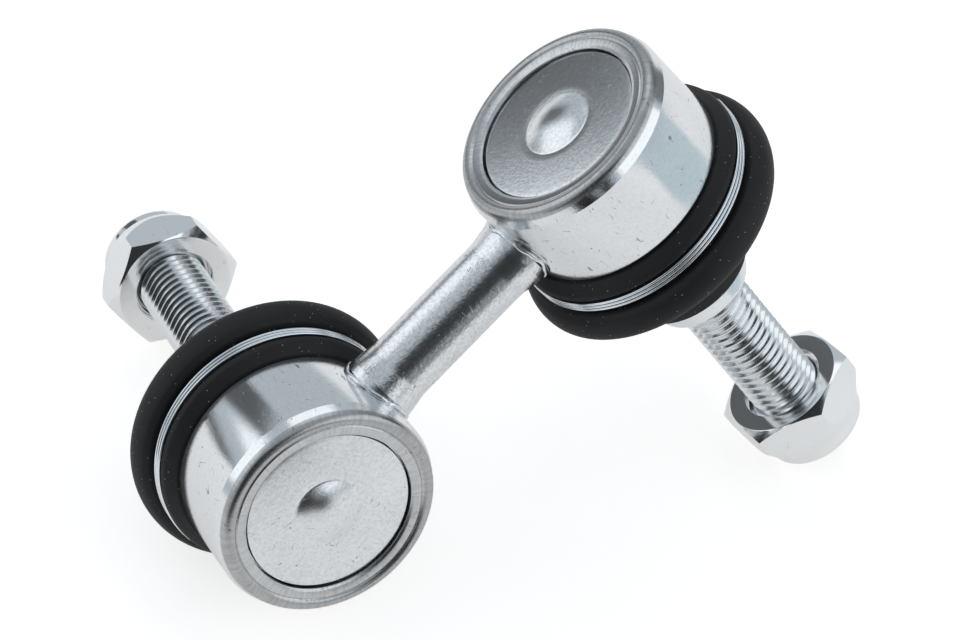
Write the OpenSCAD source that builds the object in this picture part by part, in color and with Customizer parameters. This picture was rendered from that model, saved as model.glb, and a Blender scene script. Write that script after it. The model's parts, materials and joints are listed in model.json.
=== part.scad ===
// Stabilizer link: a short welded rod with a crimped ball joint at each end, the two studs at right angles.
//
// Every piece of a joint is drawn about its ball centre, with +Z along the stud and +X away from the
// other end of the link. The link is then laid on the bench on its two nuts and the lower boot.

/* [Link] */
// Distance between the two stud axes, along the rod
stud_spacing = 56; // [50:1:80]
// Diameter of the rod
rod_d = 9.2; // [8:0.1:9.8]
// Diameter of the weld flash where the rod meets a housing
flash_d = 10.4; // [10:0.1:10.4]
// Width of the weld flash, out from the housing
flash_w = 0.8; // [0.4:0.1:1.2]
// Length of the upset that leads up to the weld flash
upset_l = 2.6; // [1.6:0.1:4]
// Fall from the weld flash to the upset
flash_step = 0.25; // [0.1:0.05:0.4]
// Distance of each ball centre from the middle plane of the rod, towards its stud
ball_drop = 1.5; // [1.4:0.1:2.4]
// Offset of the rod's axis from that plane, towards each cap
rod_offset = 1.1; // [1.1:0.1:1.6]

/* [Housing] */
// Diameter of the housing
housing_d = 30.5; // [30:0.1:32]
// Height of the rolled lip's crest above the ball centre
crest_h = 12.2; // [11.8:0.1:13]
// Depth of the housing's skirt below the ball centre
skirt_h = 7.7; // [7:0.1:8.4]
// Width of the tapered shoulder under the lip
shoulder_w = 0.6; // [0.3:0.1:1]
// Height of the tapered shoulder under the lip
shoulder_h = 2; // [1.2:0.1:2.6]
// Radius of the lip's rounded crest
crest_r = 0.6; // [0.3:0.1:0.8]
// Diameter of the opening in the rolled lip
lip_bore_d = 22.6; // [21:0.2:23]
// Fall of the lip's bevel from its crest to the opening
lip_fall = 0.35; // [0.1:0.05:0.5]
// Width of the fine groove that rolling leaves in the lip
lip_groove_w = 0.3; // [0.1:0.05:0.5]
// Diameter of that groove
lip_groove_d = 27; // [25:0.2:27.4]
// Height of the flange that the boot sits under, below the ball centre
flange_h = 2.6; // [2.5:0.1:2.9]
// Width of the flange beyond the housing's side
flange_w = 0.2; // [0.2:0.1:0.6]
// Depth of the boot groove from the housing's side
boot_groove = 1.65; // [1.2:0.05:2]
// Height of the bead that holds the boot on
bead_h = 1; // [0.6:0.1:1.4]
// Thickness of the housing's floor
floor_t = 2.6; // [2:0.1:2.8]
// Diameter of the floor's opening at the seat
mouth_d = 16.2; // [15.8:0.1:17]
// Widening of that opening towards the stud
mouth_flare = 1.6; // [1:0.1:2.4]

/* [Cover plate] */
// Diameter of the cover plate
plate_d = 25; // [24:0.2:26]
// Thickness of the cover plate
plate_t = 1.4; // [1.1:0.1:1.6]
// Depth of the plate's face below the lip's opening
plate_sink = 0.6; // [0.3:0.1:0.8]
// Diameter of the boss that is pressed out of the plate
boss_d = 9.2; // [6:0.2:11]
// Height of the pressed boss
boss_h = 0.8; // [0.5:0.1:1]

/* [Ball stud] */
// Diameter of the ball
ball_d = 17; // [16:0.1:17.2]
// Distance of the flat on the ball's top from its centre
ball_flat = 7; // [6:0.1:8]
// Diameter of the neck where it leaves the ball
neck_d = 8.8; // [8:0.1:9]
// Diameter of the shank in the boot
shank_d = 11.2; // [10.6:0.1:11.6]
// Distance from the ball centre to the full shank
shank_at = 15; // [13:0.5:16]
// Distance from the ball centre to the collar
collar_at = 21.2; // [20:0.2:24]
// Diameter of the collar
collar_d = 14.2; // [13:0.2:16]
// Thickness of the collar
collar_t = 3.5; // [2.5:0.1:5]
// Diameter of the plain pilot under the collar, which centres the mating eye
pilot_d = 10; // [9.9:0.05:10.2]
// Length of the plain pilot
pilot_l = 1.2; // [0.8:0.1:2]
// Depth of the thread's run-out groove
relief_h = 0.6; // [0.4:0.05:0.7]
// Length of the thread's run-out groove
relief_l = 0.8; // [0.7:0.1:1.4]
// Outer diameter of the thread, drawn plain
thread_d = 9.9; // [9.8:0.02:10]
// Length of the stud beyond the collar
stud_l = 32.3; // [30:0.1:36]
// Chamfer at the stud's end
end_chamfer = 0.9; // [0.4:0.1:1.4]
// Size across the flats of the hex socket in the stud's end
socket_af = 5; // [4:0.5:6]
// Depth of the hex socket
socket_h = 5; // [3:0.5:8]

/* [Ball seat] */
// Outer diameter of the plastic seat
seat_d = 22; // [21:0.1:23]
// Angle from the stud axis at which the seat's grip on the ball ends
grip_angle = 54; // [52:0.5:56]
// Diameter of the opening in the seat under the cover
seat_top_d = 13; // [12:0.5:14]

/* [Dust boot] */
// Diameter of the boot's bulge
bulge_d = 38.2; // [37:0.2:42]
// Diameter of the bulge's round section
bulge_section = 6.4; // [5.6:0.1:7]
// Distance from the ball centre to the middle of the bulge
bulge_at = 9.7; // [9.6:0.1:10.6]
// Thickness of the rubber
boot_wall = 1.7; // [1.2:0.1:2]
// Thickness of the boot's collar under the clamp ring
collar_wall = 2.9; // [2.6:0.1:3.2]
// Width of the collar's round edge above the clamp ring
collar_edge = 0.6; // [0.3:0.1:0.8]
// Diameter of the boot's neck at the stud's collar
boot_neck_d = 18; // [17.4:0.2:19]
// Length of the boot's neck
boot_neck_l = 4.6; // [4:0.1:5]

/* [Clamp ring] */
// Diameter of the ring's wire
wire_d = 0.9; // [0.7:0.05:1]
// Number of turns of the wire
wire_turns = 3; // [2:1:3]
// Distance from the ball centre to the middle of the ring
ring_at = 5.9; // [5.8:0.1:6.1]

/* [Boot neck ring] */
// Diameter of the ring in the boot's neck
neck_ring_d = 15.2; // [14.6:0.1:16]
// Thickness of that ring, measured outwards
neck_ring_t = 1; // [0.6:0.1:1.2]
// Height of that ring
neck_ring_h = 2; // [1:0.1:2.4]

/* [Lock nut] */
// Size across the nut's flats
nut_af = 17; // [16:0.5:19]
// Height at which the dome over the nut's hexagon has narrowed to the locking collar
nut_hex_h = 7.6; // [6.6:0.1:8.4]
// Height of the nut's corners, where the dome starts
nut_corner_h = 3.4; // [2.6:0.1:5]
// Height of the nut over its locking collar
nut_h = 10; // [9.6:0.2:12]
// Distance from the ball centre to the upper nut's bearing face
upper_nut_at = 45.9; // [40:0.1:47]
// Distance from the ball centre to the lower nut's bearing face
lower_nut_at = 44.9; // [40:0.1:47]
// Diameter of the nut's locking collar
nut_collar_d = 15; // [14:0.2:16]
// Wall of the nut's locking collar
nut_collar_t = 1; // [0.8:0.1:1.2]
// Width of the countersink at the nut's bearing face
countersink = 0.8; // [0.3:0.1:1.2]
// Turn of the upper nut's corner from the link's length
upper_nut_turn = 26; // [0:1:60]
// Turn of the lower nut's corner from the link's length
lower_nut_turn = 32; // [0:1:60]

/* [Stud lean] */
// Lean of the upper stud from its housing's axis, as the link lies
upper_lean = 6.1; // [0:0.1:10]
// Direction of that lean about the axis, from the side away from the rod
upper_lean_turn = 133; // [0:1:360]
// Lean of the lower stud from its housing's axis, as the link lies
lower_lean = 4.1; // [0:0.1:10]
// Direction of that lean about the axis, from the side away from the rod
lower_lean_turn = 136; // [0:1:360]

/* [Clearances] */
// Gap between pieces that turn or slide on each other
running_gap = 0.05; // [0.02:0.01:0.1]

/* [Resting pose] */
// Roll of the link as it lies on the bench
lie_roll = -22.23; // [-180:0.01:180]
// Pitch of the link as it lies on the bench
lie_pitch = -30.31; // [-180:0.01:180]
// Heading of the link on the bench
lie_heading = 40.32; // [-180:0.01:180]
// Shift of the link's middle from the bench origin
lie_shift = [-3.788, -1.991, 36.021];

/* [Hidden] */
$fn = 96;

zinc = [0.78, 0.8, 0.83];
bright_zinc = [0.86, 0.87, 0.88];
wire_steel = [0.7, 0.72, 0.75];
black_rubber = [0.07, 0.07, 0.08];
nylon = [0.93, 0.93, 0.9];
seat_plastic = [0.9, 0.88, 0.82];

housing_r = housing_d / 2;
ball_r = ball_d / 2;
thread_r = thread_d / 2;
shank_r = shank_d / 2;
collar_r = collar_d / 2;

// Cap end of the housing, as heights below the ball centre, so the cap side is negative
crest_z = -crest_h;
lip_edge_z = crest_z + lip_fall;
plate_z = lip_edge_z + plate_sink;
plate_seat_z = plate_z + plate_t;
lip_bore_r = lip_bore_d / 2;
plate_r = plate_d / 2;
seat_r = seat_d / 2;
floor_z = skirt_h - floor_t;

// Boot groove of the housing
groove_r = housing_r - boot_groove;
flange_r = housing_r + flange_w;
bead_r = groove_r + boot_groove / 2;
flange_edge = 0.6;

// Boot
collar_in_r = groove_r + running_gap;
collar_top_z = flange_h + running_gap;
ring_in_r = collar_in_r + collar_wall + running_gap;
ring_r = ring_in_r + wire_d / 2;
ring_half = wire_d * wire_turns / 2;
ring_top_z = ring_at - ring_half - running_gap;
bulge_section_r = bulge_section / 2;
bulge_r = bulge_d / 2 - bulge_section_r;
boot_end_z = collar_at - running_gap;
boot_neck_z = boot_end_z - boot_neck_l;
boot_neck_r = boot_neck_d / 2;
neck_bore_r = shank_r + running_gap;
neck_ring_z = boot_end_z - (boot_neck_l - neck_ring_h) / 2 - neck_ring_h;

// Nut
nut_corner_r = nut_af / 2 / cos(30);
dome_slope = (nut_hex_h - nut_corner_h) / (nut_corner_r - nut_collar_d / 2);
nut_bore_r = thread_r + running_gap;
insert_r = nut_collar_d / 2 - nut_collar_t;
insert_z = nut_hex_h - 0.6;
insert_end_z = nut_h - 0.9;

// Turns a half outline, drawn as radius and height, about the joint's axis.
module turned() {
    rotate_extrude() children();
}

// Square-ended ring outline from one radius and height to another.
module band(inner, outer, low, high) {
    translate([inner, low]) square([outer - inner, high - low]);
}

// Placement of the two joints on the link, and of the link on the bench.
module on_bench() {
    translate(lie_shift) rotate([lie_roll, lie_pitch, lie_heading]) children();
}

module at_upper() {
    translate([stud_spacing / 2, 0, -ball_drop]) rotate([180, 0, 0]) children();
}

module at_lower() {
    translate([-stud_spacing / 2, ball_drop, 0]) rotate([90, 0, 180]) children();
}

// Leans a stud in its ball seat, towards one side of the joint.
module leaned(lean, towards) {
    rotate([0, 0, towards]) rotate([0, lean, 0]) rotate([0, 0, -towards]) children();
}

module at_upper_stud() {
    at_upper() leaned(upper_lean, upper_lean_turn) children();
}

module at_lower_stud() {
    at_lower() leaned(lower_lean, lower_lean_turn) children();
}

module along_rod() {
    translate([0, -rod_offset, rod_offset]) rotate([0, 90, 0]) children();
}

// Outside of the housing with nothing hollowed out.
module housing_outline() {
    shoulder_z = crest_z + shoulder_h;
    crest_mid_r = housing_r - shoulder_w - crest_r;
    polygon([
        [0, crest_z],
        [crest_mid_r, crest_z],
        [crest_mid_r + crest_r, crest_z + crest_r],
        [housing_r, shoulder_z],
        [housing_r, flange_h - 2 * flange_edge - flange_w],
        [flange_r, flange_h - flange_edge],
        [flange_r, flange_h - flange_edge / 3],
        [flange_r - flange_edge / 3, flange_h],
        [groove_r, flange_h],
        [groove_r, skirt_h - bead_h - (bead_r - groove_r)],
        [bead_r, skirt_h - bead_h],
        [bead_r, skirt_h - bead_h / 3],
        [bead_r - bead_h / 3, skirt_h],
        [0, skirt_h]
    ]);
    translate([crest_mid_r, crest_z + crest_r]) circle(crest_r);
}

// Space inside the housing: lip opening, plate pocket, seat bore and flared mouth.
module housing_hollow() {
    groove_mid = lip_groove_d / 2;
    polygon([
        [0, crest_z - 1],
        [groove_mid - lip_groove_w, crest_z - 1],
        [groove_mid - lip_groove_w, crest_z + lip_groove_w / 2],
        [lip_bore_r + lip_groove_w, lip_edge_z],
        [lip_bore_r, lip_edge_z + lip_groove_w / 2],
        [lip_bore_r, plate_z],
        [plate_r, plate_z],
        [plate_r, plate_seat_z],
        [seat_r, plate_seat_z],
        [seat_r, floor_z],
        [mouth_d / 2, floor_z],
        [(mouth_d + mouth_flare) / 2, skirt_h + 0.01],
        [0, skirt_h + 0.01]
    ]);
    translate([groove_mid, crest_z]) circle(lip_groove_w / 2);
}

module housing() {
    color(zinc) turned() difference() {
        housing_outline();
        housing_hollow();
    }
}

// Ball that presses the boss: deeper by the plate's thickness it hollows the inside.
boss_ball = (pow(boss_d / 2, 2) + pow(boss_h, 2)) / (2 * boss_h);

module cover_plate() {
    boss_mid = plate_z - boss_h + boss_ball;
    color(zinc) difference() {
        union() {
            translate([0, 0, plate_z]) cylinder(r = plate_r, h = plate_t);
            intersection() {
                translate([0, 0, boss_mid]) sphere(boss_ball);
                translate([0, 0, plate_z - 2 * boss_h]) cylinder(d = boss_d + plate_t, h = 2 * boss_h + plate_t / 2);
            }
        }
        translate([0, 0, boss_mid + plate_t]) sphere(boss_ball);
    }
}

module ball_seat() {
    grip_r = (ball_r + running_gap) * sin(grip_angle);
    grip_z = (ball_r + running_gap) * cos(grip_angle);
    color(seat_plastic) difference() {
        translate([0, 0, plate_seat_z]) cylinder(r = seat_r, h = floor_z - plate_seat_z);
        sphere(ball_r + running_gap);
        translate([0, 0, plate_seat_z - 1]) cylinder(d = seat_top_d, h = -plate_seat_z);
        translate([0, 0, grip_z]) cylinder(r1 = grip_r, r2 = grip_r + 2, h = 2);
    }
}

module ball_stud() {
    neck_r = neck_d / 2;
    neck_z = sqrt(pow(ball_r, 2) - pow(neck_r, 2));
    collar_z = collar_at + collar_t;
    pilot_z = collar_z + pilot_l;
    thread_z = pilot_z + relief_l;
    end_z = collar_z + stud_l;
    relief_r = thread_r - relief_h;
    edge = collar_t / 5;
    color(bright_zinc) difference() {
        union() {
            difference() {
                sphere(ball_r);
                translate([0, 0, -ball_flat - ball_r]) cylinder(r = ball_r, h = ball_r);
            }
            turned() polygon([
                [0, 0],
                [neck_r, 0],
                [neck_r, neck_z],
                [shank_r, shank_at],
                [shank_r, collar_at],
                [collar_r - edge, collar_at],
                [collar_r, collar_at + edge],
                [collar_r, collar_z - edge],
                [collar_r - edge, collar_z],
                [pilot_d / 2, collar_z],
                [pilot_d / 2, pilot_z],
                [relief_r, pilot_z + relief_l / 4],
                [relief_r, thread_z - relief_l / 2],
                [thread_r, thread_z],
                [thread_r, end_z - end_chamfer],
                [thread_r - end_chamfer, end_z],
                [0, end_z]
            ]);
        }
        translate([0, 0, end_z - socket_h])
            cylinder(d = socket_af / cos(30), h = socket_h + 1, $fn = 6);
    }
}

// Where the cone of the boot's neck leaves the bulge, on the outside and on the inside.
root_r = bulge_r - bulge_section_r * sin(40);
root_z = bulge_at + bulge_section_r * cos(40);
bulge_in_r = bulge_section_r - boot_wall;
root_in_r = root_r - boot_wall * 0.6;

// Outside of the boot's collar, clamp groove and bulge.
module boot_body() {
    collar_edge_r = ring_in_r + collar_edge;
    polygon([
        [0, collar_top_z],
        [flange_r - flange_edge / 3, collar_top_z],
        [collar_edge_r, ring_top_z - collar_edge / 2],
        [collar_edge_r, ring_top_z],
        [ring_in_r - running_gap, ring_top_z],
        [ring_in_r - running_gap, bulge_at],
        [0, bulge_at]
    ]);
    translate([bulge_r, bulge_at]) circle(bulge_section_r);
}

// Outside of the boot's neck, rooted in the middle of the bulge so that it may lean.
module boot_neck() {
    edge = boot_wall / 2;
    polygon([
        [0, bulge_at],
        [bulge_r, bulge_at],
        [root_r, root_z],
        [boot_neck_r + edge, boot_neck_z],
        [boot_neck_r, boot_end_z - edge],
        [boot_neck_r - edge, boot_end_z],
        [0, boot_end_z]
    ]);
}

// Space in the boot's collar and bulge: housing groove, bead and grease room.
module boot_body_hollow() {
    bead_room_r = bead_r + running_gap;
    bead_z = skirt_h - bead_h - (bead_r - groove_r) - running_gap;
    polygon([
        [0, collar_top_z - 1],
        [collar_in_r, collar_top_z - 1],
        [collar_in_r, bead_z],
        [bead_room_r, bead_z + bead_r - groove_r],
        [bead_room_r, bulge_at - bulge_in_r],
        [bulge_r, bulge_at - bulge_in_r],
        [bulge_r, bulge_at + bulge_in_r],
        [0, bulge_at + bulge_in_r]
    ]);
    translate([bulge_r, bulge_at]) circle(bulge_in_r);
}

// Space in the boot's neck: grease room, ring pocket and stud bore.
module boot_neck_hollow() {
    polygon([
        [0, bulge_at],
        [root_in_r, bulge_at],
        [root_in_r, bulge_at + bulge_in_r],
        [boot_neck_r - boot_wall, boot_neck_z - boot_wall],
        [neck_bore_r, boot_neck_z],
        [neck_bore_r, boot_end_z + 1],
        [0, boot_end_z + 1]
    ]);
    band(neck_ring_d / 2 - neck_ring_t - running_gap, neck_ring_d / 2 + running_gap,
        neck_ring_z - running_gap, neck_ring_z + neck_ring_h + running_gap);
}

module dust_boot(lean, towards) {
    color(black_rubber) difference() {
        union() {
            turned() boot_body();
            leaned(lean, towards) turned() boot_neck();
        }
        turned() boot_body_hollow();
        leaned(lean, towards) turned() boot_neck_hollow();
        turned() band(ring_in_r - running_gap, bulge_d,
            ring_top_z, ring_top_z + 2 * (ring_half + running_gap));
    }
}

// The turns lie side by side and just bite into each other, so that the ring is one piece.
module clamp_ring() {
    bite = 0.96;
    first_z = ring_at - (wire_turns - 1) / 2 * wire_d * bite;
    color(wire_steel) turned() union() {
        for (i = [0 : wire_turns - 1])
            translate([ring_r, first_z + i * wire_d * bite]) circle(d = wire_d);
    }
}

module boot_neck_ring() {
    color(wire_steel) turned()
        band(neck_ring_d / 2 - neck_ring_t, neck_ring_d / 2, neck_ring_z, neck_ring_z + neck_ring_h);
}

// Chamfered hexagon with a dome and a rolled collar on its far side, drawn up from its bearing face.
// One outline turned about the axis trims the hexagon; its start lies between a corner and a flat.
module lock_nut(turn) {
    chamfer = nut_corner_r - nut_af / 2;
    edge = 0.2;
    flat_r = nut_af / 2 - edge;
    collar_in = nut_collar_t * 0.9;
    color(bright_zinc) rotate([0, 0, turn]) difference() {
        intersection() {
            translate([0, 0, -1]) cylinder(r = nut_corner_r, h = nut_h + 2, $fn = 6);
            rotate([0, 0, 17]) turned() polygon([
                [0, 0],
                [flat_r, 0],
                [nut_corner_r + edge, chamfer],
                [nut_corner_r + edge, nut_corner_h - edge * dome_slope],
                [nut_collar_d / 2, nut_hex_h],
                [nut_collar_d / 2, nut_h - collar_in],
                [nut_collar_d / 2 - collar_in, nut_h],
                [0, nut_h]
            ]);
        }
        turned() polygon([
            [0, -0.01],
            [nut_bore_r + countersink, -0.01],
            [nut_bore_r, countersink],
            [nut_bore_r, insert_z - running_gap],
            [insert_r + running_gap, insert_z - running_gap],
            [insert_r + running_gap, insert_end_z + running_gap],
            [nut_bore_r + 0.3, insert_end_z + running_gap],
            [nut_bore_r + 0.3, nut_h + 1],
            [0, nut_h + 1]
        ]);
    }
}

module nut_insert() {
    color(nylon) turned() band(nut_bore_r, insert_r, insert_z, insert_end_z);
}

// Rod with upset ends and a rim of weld flash, each end cut to the housing that it is welded to.
module link_rod() {
    rod_r = rod_d / 2;
    upset_r = flash_d / 2 - flash_step;
    weld_x = stud_spacing / 2 - housing_r;
    upset_x = weld_x - upset_l;
    color(zinc) difference() {
        union() {
            along_rod() turned() polygon([
                [0, -weld_x - 2],
                [upset_r, -weld_x - 2],
                [upset_r, -weld_x + upset_l / 3],
                [rod_r, -upset_x],
                [rod_r, upset_x],
                [upset_r, weld_x - upset_l / 3],
                [upset_r, weld_x + 2],
                [0, weld_x + 2]
            ]);
            intersection() {
                along_rod() cylinder(d = flash_d, h = 2 * weld_x + 4, center = true);
                union() {
                    at_upper() cylinder(r = housing_r + flash_w, h = stud_spacing, center = true);
                    at_lower() cylinder(r = housing_r + flash_w, h = stud_spacing, center = true);
                }
            }
        }
        at_upper() turned() housing_outline();
        at_lower() turned() housing_outline();
    }
}

on_bench() link_rod();

on_bench() at_upper() housing();  // upper_housing
on_bench() at_upper() cover_plate();  // upper_cover_plate
on_bench() at_upper() ball_seat();  // upper_ball_seat
on_bench() at_upper_stud() ball_stud();  // upper_ball_stud
on_bench() at_upper() dust_boot(upper_lean, upper_lean_turn);  // upper_dust_boot
on_bench() at_upper() clamp_ring();  // upper_clamp_ring
on_bench() at_upper_stud() boot_neck_ring();  // upper_boot_neck_ring
on_bench() at_upper_stud() translate([0, 0, upper_nut_at]) lock_nut(upper_nut_turn);  // upper_lock_nut
on_bench() at_upper_stud() translate([0, 0, upper_nut_at]) nut_insert();  // upper_nut_insert

on_bench() at_lower() housing();  // lower_housing
on_bench() at_lower() cover_plate();  // lower_cover_plate
on_bench() at_lower() ball_seat();  // lower_ball_seat
on_bench() at_lower_stud() ball_stud();  // lower_ball_stud
on_bench() at_lower() dust_boot(lower_lean, lower_lean_turn);  // lower_dust_boot
on_bench() at_lower() clamp_ring();  // lower_clamp_ring
on_bench() at_lower_stud() boot_neck_ring();  // lower_boot_neck_ring
on_bench() at_lower_stud() translate([0, 0, lower_nut_at]) lock_nut(lower_nut_turn);  // lower_lock_nut
on_bench() at_lower_stud() translate([0, 0, lower_nut_at]) nut_insert();  // lower_nut_insert
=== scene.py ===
"""Looks of a stabilizer link: a welded rod with a crimped ball joint at each end, lying on a white floor.

Sizes are in millimetres. Each joint is modelled about its ball centre, with +Z along the stud and +X away
from the other end of the link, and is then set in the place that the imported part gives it.
"""

from __future__ import annotations

import json
import logging
import math
from dataclasses import dataclass, field
from enum import Enum
from typing import Any, Sequence

import bpy
from mathutils import Euler, Matrix, Quaternion, Vector

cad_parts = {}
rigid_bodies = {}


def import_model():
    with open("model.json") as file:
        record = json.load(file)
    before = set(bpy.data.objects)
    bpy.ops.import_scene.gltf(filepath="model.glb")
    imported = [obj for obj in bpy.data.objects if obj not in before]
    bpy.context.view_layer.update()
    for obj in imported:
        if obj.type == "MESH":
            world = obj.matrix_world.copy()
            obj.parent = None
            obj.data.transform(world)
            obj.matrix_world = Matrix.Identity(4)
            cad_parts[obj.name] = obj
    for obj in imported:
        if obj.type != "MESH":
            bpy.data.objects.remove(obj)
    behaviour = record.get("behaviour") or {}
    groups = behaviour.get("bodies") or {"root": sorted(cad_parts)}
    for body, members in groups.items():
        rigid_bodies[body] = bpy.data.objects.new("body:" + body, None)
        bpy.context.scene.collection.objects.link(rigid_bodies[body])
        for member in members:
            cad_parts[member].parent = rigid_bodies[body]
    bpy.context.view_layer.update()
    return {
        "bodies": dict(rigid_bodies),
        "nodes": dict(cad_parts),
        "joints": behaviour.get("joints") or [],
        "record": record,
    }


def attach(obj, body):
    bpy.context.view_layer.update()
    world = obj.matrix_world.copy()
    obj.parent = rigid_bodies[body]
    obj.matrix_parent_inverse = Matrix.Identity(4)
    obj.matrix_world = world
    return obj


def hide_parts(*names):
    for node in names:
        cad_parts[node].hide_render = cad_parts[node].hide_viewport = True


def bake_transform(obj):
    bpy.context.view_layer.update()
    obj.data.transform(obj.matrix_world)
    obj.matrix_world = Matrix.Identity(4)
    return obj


LOG = logging.getLogger("stabilizer_link")
MM = 0.001
# Points that lie closer than this, in millimetres, become one.
WELD_GAP = 0.0004
# Largest share of an edge that one rounded corner takes.
FILLET_SHARE = 0.49
# Height above the floor, in metres, that the lamps and cards face.
AIM_HEIGHT = 0.035
Triple = tuple[float, float, float]
Colour = Triple
Point = tuple[float, float]
Span = tuple[float, float]


class Side(Enum):
    """The two ball joints of the link, named by their place in the picture."""

    UPPER = "upper"
    LOWER = "lower"


@dataclass(frozen=True)
class Corner:
    """One corner of a turned outline: radius, height along the stud, and how far it is rounded."""

    r: float
    z: float
    fillet: float = 0.0


def rounded(corners: Sequence[Corner], closed: bool = False, turn: float = 10.0) -> list[Point]:
    """Rounds the corners of an outline.

    Args:
        corners: the outline's corners in order.
        closed: whether the last corner joins the first.
        turn: largest angle, in degrees, that one edge of a rounded corner turns.

    Returns:
        The outline's points, as radius and height.
    """
    points: list[Point] = []
    count = len(corners)
    for i, corner in enumerate(corners):
        here = Vector((corner.r, corner.z))
        ends = not closed and i in (0, count - 1)
        if corner.fillet <= 0 or ends:
            points.append((here.x, here.y))
            continue
        back = Vector((corners[i - 1].r, corners[i - 1].z)) - here
        ahead = Vector((corners[(i + 1) % count].r, corners[(i + 1) % count].z)) - here
        half = back.angle(ahead) / 2
        longest = FILLET_SHARE * min(back.length, ahead.length)
        reach = min(corner.fillet / math.tan(half), longest)
        radius = reach * math.tan(half)
        centre = here + (back.normalized() + ahead.normalized()).normalized() * radius / math.sin(half)
        first = here + back.normalized() * reach - centre
        sweep = (here + ahead.normalized() * reach - centre).angle_signed(first)
        steps = max(2, math.ceil(abs(math.degrees(sweep)) / turn))
        for k in range(steps + 1):
            spoke = Matrix.Rotation(sweep * k / steps, 2) @ first
            points.append((centre.x + spoke.x, centre.y + spoke.y))
    if closed:
        points.append(points[0])
    return points


def arc(centre: Point, radius: float, start: float, end: float, steps: int) -> list[Corner]:
    """Corners along an arc.

    Args:
        centre: the arc's centre, as radius and height.
        radius: the arc's radius.
        start: angle of the first corner, in degrees from outwards towards the stud's end.
        end: angle of the last corner.
        steps: number of edges.

    Returns:
        The corners, none of them rounded.
    """
    angles = [math.radians(start + (end - start) * k / steps) for k in range(steps + 1)]
    return [Corner(centre[0] + radius * math.cos(a), centre[1] + radius * math.sin(a)) for a in angles]


def corner_radius(flats: float) -> float:
    """Distance of a hexagon's corners from its middle, from its width across flats."""
    return flats / 2 / math.cos(math.pi / 6)


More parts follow.
